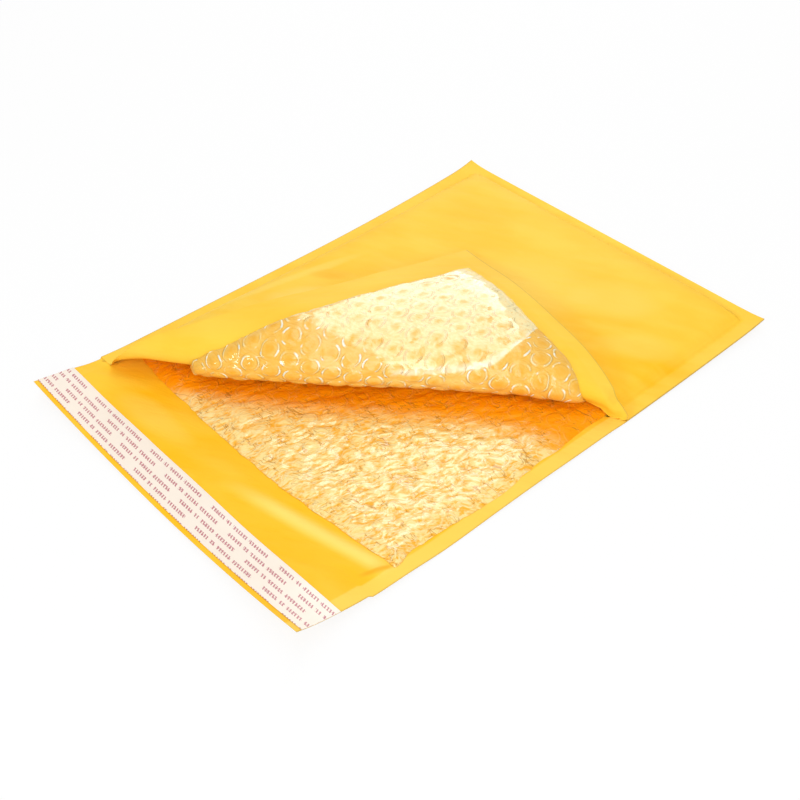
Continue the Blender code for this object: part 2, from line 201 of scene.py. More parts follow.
def top(u, v):
    """Height of the front's outer face where it lies flat."""
    s, d = fold_frame(u, v)
    gap = GAP_TIP + GAP * arch(s, 1.0) * (1.0 - ease(-d / GAP_REACH))
    full = rounding(u - SEAM, ROUNDING) * rounding(WIDTH - SEAM - u, NEAR_ROUNDING)
    full = full * rounding(LENGTH - END_CREASE - v, ROUNDING)
    to_weld = np.minimum(np.minimum(u - SEAM, WIDTH - SEAM - u), LENGTH - END_CREASE - v)
    full = full * ease(to_weld / WELD_EASE)
    full = full * (1.0 - MOUTH_PINCH * (1.0 - ease((v - FLAP) / FROM_MOUTH)))
    return lift(u, v) + 2.0 * SKIN + (2.0 * SEAT + 2.0 * LINING + gap + swell(u, v)) * full


FLAP_TRIM = 0.0012
TRIM_OVER = 0.0015
OPEN_EASE, TIP_EASE = 0.012, 0.03
WAVE, WAVE_SIZE, WAVE_UP = 0.0009, 0.030, 0.0006
RIDGE, RIDGE_WIDE = 0.0010, 0.0030
RIDGE_U, RIDGE_V, RIDGE_SLOPE = 0.1335, 0.0360, 0.21
RIDGE_FROM, RIDGE_TO = 0.12, 0.226
CREASE, CREASE_WIDE, CREASE_REACH = 0.0009, 0.0016, 0.008
CREASE_U, CREASE_V, CREASE_SLOPE = 0.2195, 0.0510, 0.32


def off_ridge(u, v):
    """Distance from the ridge across the inner face of the flap."""
    return v - RIDGE_V - RIDGE_SLOPE * (u - RIDGE_U)


def off_crease(u, v):
    """Distance from the short crease beside the opened seam."""
    return u - CREASE_U - CREASE_SLOPE * (v - CREASE_V)


def back_sheet(u, v, depth):
    """Points of the back, depth inside its outer face. Its flap is a little narrower."""
    inset = FLAP_TRIM * (1.0 - ease((v - FLAP + TRIM_OVER) / TRIM_OVER))
    s, d = fold_frame(u, v)
    opened = ease((d - bow(s)) / OPEN_EASE) * ease(v / TIP_EASE)
    wave = WAVE * noise(0.7 * u + 0.3 * v, v - 0.5 * u, WAVE_SIZE, 5)
    ridge = RIDGE * hill(off_ridge(u, v), RIDGE_WIDE)
    ridge = ridge * ease((u - RIDGE_FROM) / 0.05) * ease((RIDGE_TO - u) / 0.02)
    crease = CREASE * hill(off_crease(u, v), CREASE_WIDE)
    crease = crease * ease(1.0 - abs(v - CREASE_V) / CREASE_REACH)
    relief = (np.maximum(wave + WAVE_UP, 0.0) + ridge + crease) * opened
    return np.stack([u + inset * (1.0 - 2.0 * u / WIDTH), v, lift(u, v) + depth + relief], -1)


LANDING = 0.127
PUFF = 0.0005
REST_SPACE = 0.0006
FLUTTER, FLUTTER_SIZE = 0.0016, 0.022
PULL, PULL_FROM, PULL_ALONG, PULL_ACROSS = 0.0042, 0.105, 0.10, 0.07


def front_sheet(u, v, depth, held):
    """Points of the front: flat, then round the roll, then laid back."""
    s, d = fold_frame(u, v)
    start = bow(s)
    run = d - start
    radius = roll_radius(s)
    stretch = roll_stretch(s)
    arc = (radius + held) * (1.0 + stretch) / 2.0
    turn = np.clip(run / arc, 0.0, pi)
    past = np.maximum(run - pi * arc, 0.0)
    if held > 0.0:
        depth = depth + PUFF * ease(turn) * (1.0 - ease(past / LANDING))
    off = start + (radius + depth) * stretch * np.sin(turn) - past
    x, y = fold_place(s, off)
    rolled = top(*fold_place(s, start)) + radius - (radius + depth) * np.cos(turn)
    space = 2.0 * radius * (1.0 - ease(past / LANDING)) + REST_SPACE * ease(past / 0.02)
    flutter = 0.5 + 0.5 * noise(s, past * 0.6, FLUTTER_SIZE, 7)
    space = space + FLUTTER * flutter * ease((past - 0.02) / 0.05)
    laid = top(x, y) + space + depth
    z = np.where(past > 0.0, laid, rolled)
    pull = PULL * ease((v - PULL_FROM) / PULL_ALONG) * ease(1.0 - (WIDTH - u) / PULL_ACROSS)
    y = y + pull * ease(run / 0.004)
    flat = np.stack([u, v, top(u, v) - depth], -1)
    return np.where((run <= 0.0)[..., None], flat, np.stack([x, y, z], -1))


def lines(stops, step):
    """Values through every stop, no further apart than step."""
    values = [stops[0]]
    for a, b in zip(stops, stops[1:]):
        n = ceil((b - a) / step - 1e-6)
        values += [a + (b - a) * i / n for i in range(1, n + 1)]
    return np.array(values)


BACK_OUTSIDE, BACK_INSIDE, FRONT_OUTSIDE, FRONT_INSIDE = 0.0, 1.0, 2.0, 3.0
SAME_POINT = 1e-6
SHARP = 0.9


class Sewn:
    """A mesh sewn together from placed grids and the walls along their edges."""

    def __init__(self):
        self.points = []
        self.flat = []
        self.crest = []
        self.faces = []
        self.count = 0

    def grid(self, u, v, place, side, wanted=None, crest=None):
        """Add a grid of a sheet, and return its point numbers."""
        uu, vv = np.meshgrid(u, v, indexing="ij")
        index = self.count + np.arange(uu.size).reshape(uu.shape)
        self.points.append(place(uu, vv).reshape(-1, 3))
        self.flat.append(np.stack([uu, vv, np.full_like(uu, side)], -1).reshape(-1, 3))
        self.crest.append((crest(uu, vv) if crest else np.zeros_like(uu)).ravel())
        self.count += uu.size
        quads = np.stack([index[:-1, :-1], index[1:, :-1], index[1:, 1:], index[:-1, 1:]], -1)
        if wanted is not None:
            mid_u = (u[:-1] + u[1:])[:, None] / 2.0 + 0.0 * v[None, 1:]
            mid_v = (v[:-1] + v[1:])[None, :] / 2.0 + 0.0 * u[1:, None]
            quads = quads[wanted(mid_u, mid_v)]
        self.faces += quads.reshape(-1, 4).tolist()
        return index

    def wall(self, low, high):
        """Join two lines of points, of which the second may be finer."""
        finer = (len(high) - 1) // (len(low) - 1)
        for i in range(len(low) - 1):
            run = high[finer * i:finer * (i + 1) + 1]
            self.faces.append([int(low[i]), int(low[i + 1])] + run[::-1].tolist())

    def finish(self, name, body, slot, material):
        """Make the piece about the mailer's middle, and say what it rides on."""
        points = np.concatenate(self.points) - np.array([WIDTH / 2, LENGTH / 2, 0.0])
        data = bpy.data.meshes.new(name)
        data.from_pydata(points.tolist(), [], self.faces)
        where = data.attributes.new("flat", "FLOAT_VECTOR", "POINT")
        where.data.foreach_set("vector", np.concatenate(self.flat).ravel())
        raised = data.attributes.new("crest", "FLOAT", "POINT")
        raised.data.foreach_set("value", np.concatenate(self.crest))
        work = bmesh.new()
        work.from_mesh(data)
        bmesh.ops.remove_doubles(work, verts=work.verts, dist=SAME_POINT)
        loose = [vert for vert in work.verts if not vert.link_faces]
        bmesh.ops.delete(work, geom=loose, context='VERTS')
        bmesh.ops.recalc_face_normals(work, faces=work.faces)
        work.to_mesh(data)
        work.free()
        data.materials.append(material)
        data.shade_smooth()
        data.set_sharp_from_angle(angle=SHARP)
        piece = bpy.data.objects.new(name, data)
        bpy.context.scene.collection.objects.link(piece)
        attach(piece, body)
        return piece


class Value:
    """A socket of numbers, on which Python's maths adds Math nodes."""

    def __init__(self, finish, socket):
        self.finish = finish
        self.socket = socket

    def math(self, operation, *others):
        """A Math node on this value and the others, in that order."""
        node = self.finish.node("ShaderNodeMath", {"operation": operation},
                                {i: item for i, item in enumerate((self,) + others)})
        return Value(self.finish, node.outputs[0])

    def __add__(self, other):
        return self.math('ADD', other)

    def __sub__(self, other):
        return self.math('SUBTRACT', other)

    def __rsub__(self, other):
        return Value(self.finish, self.finish.node(
            "ShaderNodeMath", {"operation": 'SUBTRACT'}, {0: other, 1: self}).outputs[0])

    def __mul__(self, other):
        return self.math('MULTIPLY', other)

    def __truediv__(self, other):
        return self.math('DIVIDE', other)

    def __pow__(self, other):
        return self.math('POWER', other)

    __radd__ = __add__
    __rmul__ = __mul__

    def step(self, low, high):
        """Smooth step of this value from low to high."""
        node = self.finish.node("ShaderNodeMapRange", {"interpolation_type": 'SMOOTHSTEP'},
                                {0: self, 1: low, 2: high, 3: 0.0, 4: 1.0})
        return Value(self.finish, node.outputs[0])

    def near(self, middle, low, high):
        """1 within low of middle, which fades to 0 at high from it."""
        return 1.0 - (self - middle).math('ABSOLUTE').step(low, high)


class Finish:
    """A material: its Principled shader, and the nodes that feed it."""

    def __init__(self, name, **constants):
        self.material = bpy.data.materials.new(name)
        self.material.use_nodes = True
        self.tree = self.material.node_tree
        self.shader = self.tree.nodes["Principled BSDF"]
        for key, value in constants.items():
            key = key.replace("_", " ").title().replace("Ior", "IOR")
            self.shader.inputs[key.replace("Specular", "Specular IOR")].default_value = value

    def node(self, kind, settings, inputs):
        """Any node: its type, its settings, then the values or links of its sockets."""
        node = self.tree.nodes.new(kind)
        for key, value in settings.items():
            setattr(node, key, value)
        for key, value in inputs.items():
            self.feed(node.inputs[key], value)
        return node

    def feed(self, target, value):
        """Link a socket to another, or write a number or a colour on it."""
        if isinstance(value, Value):
            self.tree.links.new(value.socket, target)
        elif isinstance(value, bpy.types.NodeSocket):
            self.tree.links.new(value, target)
        else:
            target.default_value = value

    def set(self, key, value):
        self.feed(self.shader.inputs[key], value)

    def flat(self):
        """Where a point lies on the flat sheet: across, along, and which side."""
        node = self.node("ShaderNodeAttribute", {"attribute_name": "flat"}, {})
        split = self.node("ShaderNodeSeparateXYZ", {}, {0: node.outputs["Vector"]})
        return [Value(self, socket) for socket in split.outputs]

    def vector(self, x, y, z=0.0):
        return self.node("ShaderNodeCombineXYZ", {}, {0: x, 1: y, 2: z}).outputs[0]

    def noise(self, vector, scale, detail=3.0, roughness=0.5):
        node = self.node("ShaderNodeTexNoise", {}, {
            "Vector": vector, "Scale": scale, "Detail": detail, "Roughness": roughness})
        return Value(self, node.outputs[0])

    def blend(self, factor, a, b):
        """Mix two colours."""
        node = self.node("ShaderNodeMix", {"data_type": 'RGBA'}, {0: factor, 6: a, 7: b})
        return node.outputs[2]

    def bump(self, height, strength, distance, normal=None):
        """Bumps of a height, over the normal of other bumps if they are given."""
        node = self.node("ShaderNodeBump", {}, {
            "Height": height, "Strength": strength, "Distance": distance})
        if normal is not None:
            self.feed(node.inputs["Normal"], normal)
        return node.outputs[0]


skin_finish = Finish("Golden yellow skin", specular_level=0.12)
across, along, side = skin_finish.flat()
on_front = side.step(1.4, 1.6)
on_inside = side.step(0.4, 0.6) * (1.0 - on_front)
outside = on_front * (1.0 - side.step(2.4, 2.6))
place = skin_finish.vector(across, along, side * 0.5)
cloud = skin_finish.noise(place, 14.0, 3.0)
fibre = skin_finish.noise(place, 900.0, 2.0, 0.6)
diagonal = skin_finish.vector(across * 0.6 + along * 0.5, along * 2.0 - across, side)
soft = skin_finish.noise(diagonal, 26.0, 4.0, 0.55)
edge = across.math('MINIMUM', WIDTH - across).math('MINIMUM', LENGTH + 0.001 - along)
weld = 1.0 - edge.step(SEAM * 0.82, SEAM * 0.95)
weld_line = edge.near(SEAM * 1.15, 0.0002, 0.0016)
# Darker along the sheet's very edge.
dark_edge_line = 1.0 - edge.step(0.0, 0.0009)


def patch(u, v, long, wide, lean):
    """A soft oval spot of the sheet, lean radians round from across."""
    du, dv = across - u, along - v
    p = (du * cos(lean) + dv * sin(lean)) / long
    q = (dv * cos(lean) - du * sin(lean)) / wide
    return 1.0 - (p * p + q * q + (soft - 0.5) * 1.6).step(0.0, 1.0)


# Where the sheet has paler seams, painted sheen, a crease of painted shade, or deeper colour.
pale_and_sheen = weld * (0.08 + 0.37 * across.step(0.10, 0.13) * (1.0 - on_front))
pale_and_sheen = pale_and_sheen + weld_line * 0.20 * outside * (0.08 - across).step(0.0, 0.02)
# Painted sheen: pale spots on the front where it catches the light.
for u, v, long, wide, lean, sheen in (
        (0.165, 0.270, 0.030, 0.020, 0.6, 0.26), (0.200, 0.250, 0.026, 0.012, 0.7, 0.26),
        (0.042, 0.148, 0.024, 0.012, 1.0, 0.55), (0.022, 0.150, 0.060, 0.005, 1.35, 0.40),
        (0.120, 0.245, 0.050, 0.030, 0.4, 0.26)):
    pale_and_sheen = pale_and_sheen + patch(u, v, long, wide, lean) * sheen * outside
# Painted sheen: a pale band along the flap's ridge, and a pale spot on the flap.
painted_sheen_band = (off_ridge(across, along) / 0.0042).near(0.0, 0.1, 1.6)
painted_sheen_band = painted_sheen_band * across.step(0.120, 0.165) * (1.0 - across.step(0.212, 0.226))
painted_sheen_spot = patch(0.062, 0.034, 0.035, 0.010, 0.1)
pale_and_sheen = pale_and_sheen + (painted_sheen_band * 0.85 + painted_sheen_spot * 0.25) * on_inside
# Painted shade: the crease beside the opened seam is painted darker orange; the front has one
# such spot.
crease_shade_mark = (off_crease(across, along) / 0.0022).near(0.0, 0.1, 1.0)
crease_shade_mark = crease_shade_mark * along.near(CREASE_V, 0.004, 0.010)
warm_spot_and_crease_shade = patch(0.035, 0.171, 0.016, 0.006, 0.7) * 0.5 * on_front + crease_shade_mark * on_inside
deep = patch(0.185, 0.215, 0.070, 0.050, 0.5) * on_front
# Painted sheen: the front is painted lighter than the flap and back; the rest varies at random.
tone_and_front_sheen = cloud.step(0.30, 0.70) * 0.35 + soft.step(0.35, 0.65) * 0.25 + on_front * 0.40
tone_and_front_sheen = tone_and_front_sheen - deep * 0.35

DEEP_GOLD = (0.985, 0.500, 0.003, 1.0)
LIGHT_GOLD = (0.985, 0.640, 0.072, 1.0)
PALE_GOLD = (0.99, 0.74, 0.17, 1.0)
WARM_SPOT_AND_CREASE_SHADE = (0.97, 0.40, 0.010, 1.0)
DARK_EDGE_LINE = (0.50, 0.33, 0.06, 1.0)
gold = skin_finish.blend(tone_and_front_sheen.math('MAXIMUM', 0.0), DEEP_GOLD, LIGHT_GOLD)
gold = skin_finish.blend(pale_and_sheen.math('MINIMUM', 1.0), gold, PALE_GOLD)
gold = skin_finish.blend(warm_spot_and_crease_shade * 0.75, gold, WARM_SPOT_AND_CREASE_SHADE)
gold = skin_finish.blend(dark_edge_line * (0.45 + 0.20 * on_front), gold, DARK_EDGE_LINE)
skin_finish.set("Base Color", gold)
skin_finish.set("Roughness", 0.48 + 0.10 * cloud + 0.06 * fibre)
grain = skin_finish.bump(fibre, 0.25, 0.0002)
creasing = soft + weld_line * 0.3 * outside
skin_finish.set("Normal", skin_finish.bump(creasing, 0.55, 0.0022, grain))

CELL = 0.0022
BY_WELD = 0.002
SLIT_END = 0.009
u_lines = lines(
    [0.0, SEAM, SEAM + BY_WELD, WIDTH - SEAM - BY_WELD, WIDTH - SEAM, WIDTH], CELL)
v_front = lines(
    [FLAP, OPEN_TO - SLIT_END, OPEN_TO, LENGTH - END_CREASE - BY_WELD, LENGTH - END_CREASE,
     LENGTH], CELL)
v_back = np.concatenate([lines([0.0, FLAP - TRIM_OVER, FLAP], CELL)[:-1], v_front])


def back_out(u, v):
    return back_sheet(u, v, 0.0)


def back_in(u, v):
    return back_sheet(u, v, SKIN)


def front_out(u, v):
    return front_sheet(u, v, 0.0, 0.0)


def front_in(u, v):
    return front_sheet(u, v, SKIN, 0.0)


def open_front(u, v):
    """Where the front is not welded to the back, in any corner of a cell."""
    s, d = fold_frame(u + CELL / 2, v - CELL / 2)
    loose = d > bow(s)
    return (u > SEAM) & (v < LENGTH - END_CREASE) & ((u < WIDTH - SEAM) | loose)


def open_back(u, v):
    """Where the back's inner face is free: on the flap, and where the front is loose."""
    return (v < FLAP) | open_front(u, v)


skin = Sewn()
under = skin.grid(u_lines, v_back, back_out, BACK_OUTSIDE)
inside = skin.grid(u_lines, v_back, back_in, BACK_INSIDE, open_back)
outer = skin.grid(u_lines, v_front, front_out, FRONT_OUTSIDE)
lined = skin.grid(u_lines, v_front, front_in, FRONT_INSIDE, open_front)
flap_rows = int(np.argmin(abs(v_back - FLAP)))
seam_column = int(np.argmin(abs(u_lines - SEAM)))
open_row = int(np.argmin(abs(v_front - OPEN_TO)))
slit_row = flap_rows + open_row

# The flap's edges and the back's side of the slit, the mouth and the front's
# side of the slit, then the closed edges.
skin.wall(under[0, :flap_rows + 1], inside[0, :flap_rows + 1])
skin.wall(under[:, 0], inside[:, 0])
skin.wall(under[-1, :slit_row + 1], inside[-1, :slit_row + 1])
skin.wall(inside[:seam_column + 1, flap_rows], outer[:seam_column + 1, 0])
skin.wall(outer[seam_column:, 0], lined[seam_column:, 0])
skin.wall(outer[-1, :open_row + 1], lined[-1, :open_row + 1])
skin.wall(under[:, -1], outer[:, -1])
skin.wall(under[0, flap_rows:], outer[0, :])
skin.wall(under[-1, slit_row:], outer[-1, open_row:])
mailer_skin = skin.finish("mailer_skin", "root", "golden_skin", skin_finish.material)
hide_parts("outer_envelope")


# Lining. A web of clear bubble film, its flat face inwards, is folded at the
# closed end and lines both panels. Its bubbles press against the skin, and the
# yellow shows through it.
RIM = 0.0003
FROM_SIDE = 0.0104
LINING_END = LENGTH - 0.008
LINING_JOIN = LINING_END - 0.004
PITCH = 0.0115
ROW = PITCH * sqrt(3.0)
BUBBLE = 0.0048

film_finish = Finish("Clear bubble film", specular_level=0.15, coat_roughness=0.10, coat_ior=1.8)
across, along, side = film_finish.flat()
crest = Value(film_finish, film_finish.node(
    "ShaderNodeAttribute", {"attribute_name": "crest"}, {}).outputs["Fac"])
place = film_finish.vector(across, along, side)
on_front = side.step(1.9, 2.1)
on_back = 1.0 - on_front
drift = (film_finish.noise(place, 60.0, 1.0) - 0.5) * 0.0022
patchy = film_finish.noise(place, 150.0, 2.0)


def bubble_cell(shift):
    """Where a point lies in the bubble nearest to it, in one half of the rows."""
    du = (across + drift + shift * PITCH).math('FLOORED_MODULO', PITCH) - PITCH / 2
    dv = (along - drift + shift * ROW).math('FLOORED_MODULO', ROW) - ROW / 2
    return du * FOLD_X + dv * FOLD_Y, (du ** 2.0 + dv ** 2.0) ** 0.5


# Each bubble's ring: a lit arc on two sides, a thin dark line and its middle.
sideways, radius = bubble_cell(0.0)
other_way, other_radius = bubble_cell(0.5)
first = radius.math('LESS_THAN', other_radius)
sideways = other_way + first * (sideways - other_way)
radius = radius.math('MINIMUM', other_radius)
off_ring = (radius - BUBBLE + 0.0003).math('ABSOLUTE')
bow_sides = (sideways.math('ABSOLUTE') / radius).step(0.25, 0.72)
arc = (1.0 - off_ring.step(0.0001, 0.0007)) * bow_sides * patchy.step(0.38, 0.56)
arc_line = off_ring.near(0.0009, 0.0, 0.00040) * patchy.step(0.40, 0.52)
centre = 1.0 - radius.step(0.0008, 0.0034)

# The part of the folded-back corner where the film is pulled flat and shines, painted paler as a
# painted reflection.
s, run = fold_frame(across, along)
turned = run + (s / FOLD_LENGTH * pi).math('SINE') * BOW
turned = turned - (s / FOLD_LENGTH * 2.0 * pi).math('SINE') * SWAY
waver = (film_finish.noise(place, 120.0, 2.0) - 0.5) * 0.006
bound = 0.159 - ((turned - 0.037).math('MAXIMUM', 0.0) / 0.025) ** 1.6 * 0.050
low = 0.0325 + ((s - 0.198).math('MAXIMUM', 0.0) / 0.028) ** 3.0 * 0.033
above_low = turned + waver * 0.3 - low
taut = (s + waver - bound).step(-0.0015, 0.0030)
taut = taut * above_low.step(-0.0005, 0.0012) * on_front
slack = 1.0 - taut
# Painted reflection: the shine is painted on down the middle of the roll.
haze_on_roll = on_front * (1.0 - above_low.step(-0.001, 0.001))
haze_on_roll = haze_on_roll * (s - 0.135).step(0.0, 0.02) * (1.0 - (s - 0.190).step(0.0, 0.02))
# Painted highlight: a bright line along a crease in the shining part.
crease = taut * above_low.near(0.0024, 0.0002, 0.0034) * patchy.step(0.30, 0.50)

# The crumpled film on the back: long ripples, bright painted glints and dark strokes of painted
# crease shadow.
RIPPLE_LONG, RIPPLE_WIDE = 0.924, 0.38


def ripple_frame(u, v):
    """Distance along the film's ripples, and across them."""
    return RIPPLE_LONG * v + RIPPLE_WIDE * u, RIPPLE_LONG * u - RIPPLE_WIDE * v


def streaks(shorten, scale, detail, roughness=0.5):
    """Noise drawn out along the ripples."""
    return film_finish.noise(
        film_finish.vector(ripple_long * shorten, ripple_wide, side), scale, detail, roughness)


wander = (film_finish.noise(place, 70.0, 2.0) - 0.5) * 0.010
ripple_long, ripple_wide = (way + wander for way in ripple_frame(across, along))
ripple = streaks(0.38, 520.0, 2.0, 0.55)
fine = streaks(0.45, 900.0, 2.0, 0.6)
glint = streaks(0.30, 520.0, 1.0).near(0.5, 0.004, 0.030)
glint = glint * film_finish.noise(place, 130.0, 1.0).step(0.45, 0.60)
# Painted shade: thin dark strokes where creases would cast shadows.
crease_shadow_long = across * 0.97 + along * 0.23 + wander * 0.5
crease_shadow_wide = along * 0.97 - across * 0.23 + wander * 0.5
crease_shadow_stroke = film_finish.noise(film_finish.vector(crease_shadow_long * 0.30, crease_shadow_wide, side), 330.0, 1.0)
crease_shadow_stroke = crease_shadow_stroke.near(0.5, 0.004, 0.020)
crease_shadow_stroke = crease_shadow_stroke * film_finish.noise(place, 110.0, 1.0).step(0.46, 0.56)
cloud = film_finish.noise(place, 34.0, 3.0)
# Painted shade: the back film is painted deep orange where the roll hangs over it.
narrow = 0.45 + 0.55 * s.step(0.02, 0.13)
shade = on_back * (1.0 - (turned.math('ABSOLUTE') / narrow).step(0.018, 0.046))
leftward = (0.135 - across).step(0.0, 0.08)

# Cream tone of the film; on the turned-back film it also holds the painted reflection.
on_crumpled = crest * 0.45 + ripple.step(0.34, 0.66) * 0.34 + fine.step(0.32, 0.68) * 0.40
on_crumpled = on_crumpled + cloud * 0.30 - 0.40 + leftward * 0.10
turned_tone_and_haze = cloud * 0.25 + ripple.step(0.35, 0.65) * 0.14 + fine.step(0.35, 0.65) * 0.12
turned_tone_and_haze = turned_tone_and_haze - 0.05 + haze_on_roll * 0.20 + taut * 0.12 - centre * 0.08
cream_and_haze = on_back * on_crumpled + on_front * turned_tone_and_haze
lit_arc = arc * (0.24 + 0.50 * on_front - 0.20 * shade) * slack
# Painted highlight: white glints on the lit arcs of the turned-back film.
painted_ring_glint = lit_arc * film_finish.noise(place, 230.0, 1.0).step(0.50, 0.58) * on_front
hollow = centre * on_front * slack * patchy.step(0.35, 0.60)
# Painted reflection: the shine is painted on out to the film's ragged edge.
off_rim = (along - FLAP - FROM_MOUTH).step(0.002, 0.007)
off_rim = off_rim * (WIDTH - FROM_SIDE - across).step(0.008, 0.019)
painted_haze_edge = taut * (1.0 - off_rim) * fine.step(0.22, 0.50)

DEEP_AMBER = (0.960, 0.440, 0.026, 1.0)
CREAM_AND_HAZE = (0.985, 0.760, 0.300, 1.0)
UNDER_ROLL_SHADE = (0.995, 0.335, 0.0, 1.0)
CLEAR_FILM = (0.85, 0.51, 0.080, 1.0)
LIT_RING = (1.0, 0.86, 0.44, 1.0)
BUBBLE_HOLLOW = (0.86, 0.40, 0.015, 1.0)
PAINTED_RING_GLINT = (1.0, 0.97, 0.80, 1.0)
RING_LINE = (0.72, 0.33, 0.02, 1.0)
GLINT = (1.0, 0.88, 0.52, 1.0)
CREASE_SHADOW = (0.55, 0.22, 0.01, 1.0)
PAINTED_HAZE_EDGE = (1.0, 0.88, 0.46, 1.0)
PAINTED_CREASE_HIGHLIGHT = (1.0, 0.93, 0.70, 1.0)
amber = film_finish.blend(cream_and_haze.step(0.0, 0.62), DEEP_AMBER, CREAM_AND_HAZE)
for amount, colour in (
        ((shade * 1.2).math('MINIMUM', 1.0), UNDER_ROLL_SHADE),
        (on_front * slack * 0.55, CLEAR_FILM),
        (lit_arc, LIT_RING),
        (hollow * 0.62, BUBBLE_HOLLOW),
        ((painted_ring_glint * 2.0).math('MINIMUM', 1.0), PAINTED_RING_GLINT),
        (arc_line * (0.22 + 0.20 * on_front) * slack, RING_LINE),
        (glint * (0.60 - 0.52 * shade) * on_back, GLINT),
        (crease_shadow_stroke * 0.70 * on_back, CREASE_SHADOW),
        (painted_haze_edge * 0.85, PAINTED_HAZE_EDGE),
        (crease * 0.55, PAINTED_CREASE_HIGHLIGHT)):
    amber = film_finish.blend(amount, amber, colour)
film_finish.set("Base Color", amber)
film_finish.set("Roughness", 0.30 + 0.25 * cloud)

# The coat's gloss is strongest where the film is taut, and weak in its bubbles.
streaky = film_finish.noise(film_finish.vector(s * 2.2, run * 0.35, side), 240.0, 2.0)
dull_bubble = centre * taut * 0.58 * patchy.step(0.20, 0.50)
dull_streak = taut * (1.0 - streaky.step(0.35, 0.62)) * 0.22
clearness = on_front * (0.30 + 0.62 * taut) * (1.0 - dull_bubble) * (1.0 - dull_streak)
clearness = clearness + on_back * (0.25 + 0.60 * ripple.step(0.40, 0.60)) * (1.0 - shade)
film_finish.set("Coat Weight", clearness)
crumple = (ripple + 0.5 * glint - 0.5 * crease_shadow_stroke) * on_back + 0.60 * fine
dents = film_finish.bump(crumple, 0.45, 0.0010)
rings = arc * (0.35 + 0.65 * on_front)
film_finish.set("Normal", film_finish.bump(rings, 0.9, 0.0006, dents))


def bubble_relief(u, v):
    """Height of the film over the web between the bubbles, 0 to 1."""
    best = np.full(u.shape, 1.0)
    for shift in (0.0, 0.5):
        du = (u + shift * PITCH) % PITCH - PITCH / 2
        dv = (v + shift * ROW) % ROW - ROW / 2
        best = np.minimum(best, np.sqrt(du ** 2 + dv ** 2))
    return np.clip(1.0 - (best / BUBBLE) ** 2, 0.0, 1.0) ** 0.7


def film_ripple(u, v):
    """Ridges of the crumpled film, -1 to 1, which run mostly along the mailer."""
    long, wide = ripple_frame(u, v)
    bend = 0.003 * noise(u, v, 0.012, 21)
    return 1.0 - 2.0 * abs(noise((long + bend) * 0.38, wide + bend, 0.0029, 22))


def film_crest(u, v):
    """How high the film stands, 0 to 1, for its colour."""
    ripple = np.clip(0.5 + 0.5 * film_ripple(u, v), 0.0, 1.0)
    return 0.35 * bubble_relief(u, v) + 0.65 * ripple


def back_relief(u, v):
    """The film on the back is crumpled, so its bubbles hardly show."""
    return 0.00030 * (bubble_relief(u, v) - 1.0) + 0.00045 * (film_ripple(u, v) - 1.0)


def front_relief(u, v):
    """The turned-back film's bubbles stand out on the roll, under one long fold line."""
    s, d = fold_frame(u, v)
    run = d - bow(s)
    tight = 1.0 - ease((run - 0.030) / 0.012)
    relief = (0.00018 + 0.00035 * tight) * (bubble_relief(u, v) - 1.0)
    relief = relief + 0.00012 * (film_ripple(u, v) - 1.0)
    fold_line = 0.0006 * hill(run - 0.0385 - 0.11 * (s - 0.060), 0.0014)
    return relief + fold_line * ease((s - 0.03) / 0.02) * (1.0 - ease((s - 0.115) / 0.03))


RIM_REACH = 0.005
RIM_OVER = 0.00005
JOIN_EASE = 0.008
BACK_TAPER, FRONT_TAPER = 0.012, 0.006


def from_rim(u, v):
    """Distance from the nearest open edge of the film."""
    from_side = np.minimum(u - FROM_SIDE, WIDTH - FROM_SIDE - u)
    return np.minimum(from_side, v - FLAP - FROM_MOUTH)


def rim_drop(u, v):
    """The film's rim lies down on the skin."""
    s, d = fold_frame(u, v)
    dropped = (SEAT - RIM_OVER) * (1.0 - ease(from_rim(u, v) / RIM_REACH))
    return dropped * ease((d - bow(s)) / 0.010)


def film_depth(u, v, relief, taper):
    """Depth of the film face, which closes where its two panels join."""
    swollen = 1.0 - np.clip(1.0 - from_rim(u, v) / taper, 0.0, 1.0) ** 2
    half = (top(u, v) - lift(u, v)) / 2.0 - LINING_PAPER
    thick = np.minimum(RIM + (LINING + relief(u, v) - RIM) * swollen, half)
    blend = ease(1.0 - (LINING_JOIN - v) / JOIN_EASE)
    return LINING_PAPER + thick + (half - thick) * blend - rim_drop(u, v)


RAG = 0.0035
SLOW_RAG = 0.013
EDGE_REACH = 0.030


def mouth_side(v):
    """1 at the film's edge in the mouth, fading inwards."""
    return 1.0 - ease((v - FLAP - FROM_MOUTH) / EDGE_REACH)


def back_edge(u, v):
    """Where the film really lies: its edges wander, and draw back from the seam."""
    ragged = 0.0005 * noise(u, v, RAG, 31) + 0.0004 * noise(u, v, SLOW_RAG, 32)
    mouth = 0.103 * np.maximum(u - 0.15, 0.0) + 0.054 * np.maximum(0.085 - u, 0.0) - 0.0040
    v = v + (mouth + ragged) * mouth_side(v)
    inset = 0.0012 + 0.0032 * ease((0.072 - v) / 0.012) + 0.0026 * hill(v - 0.122, 0.02)
    beside_seam = 1.0 - ease((WIDTH - FROM_SIDE - u) / EDGE_REACH)
    return u + (inset + ragged) * beside_seam * ease((0.19 - v) / 0.03), v


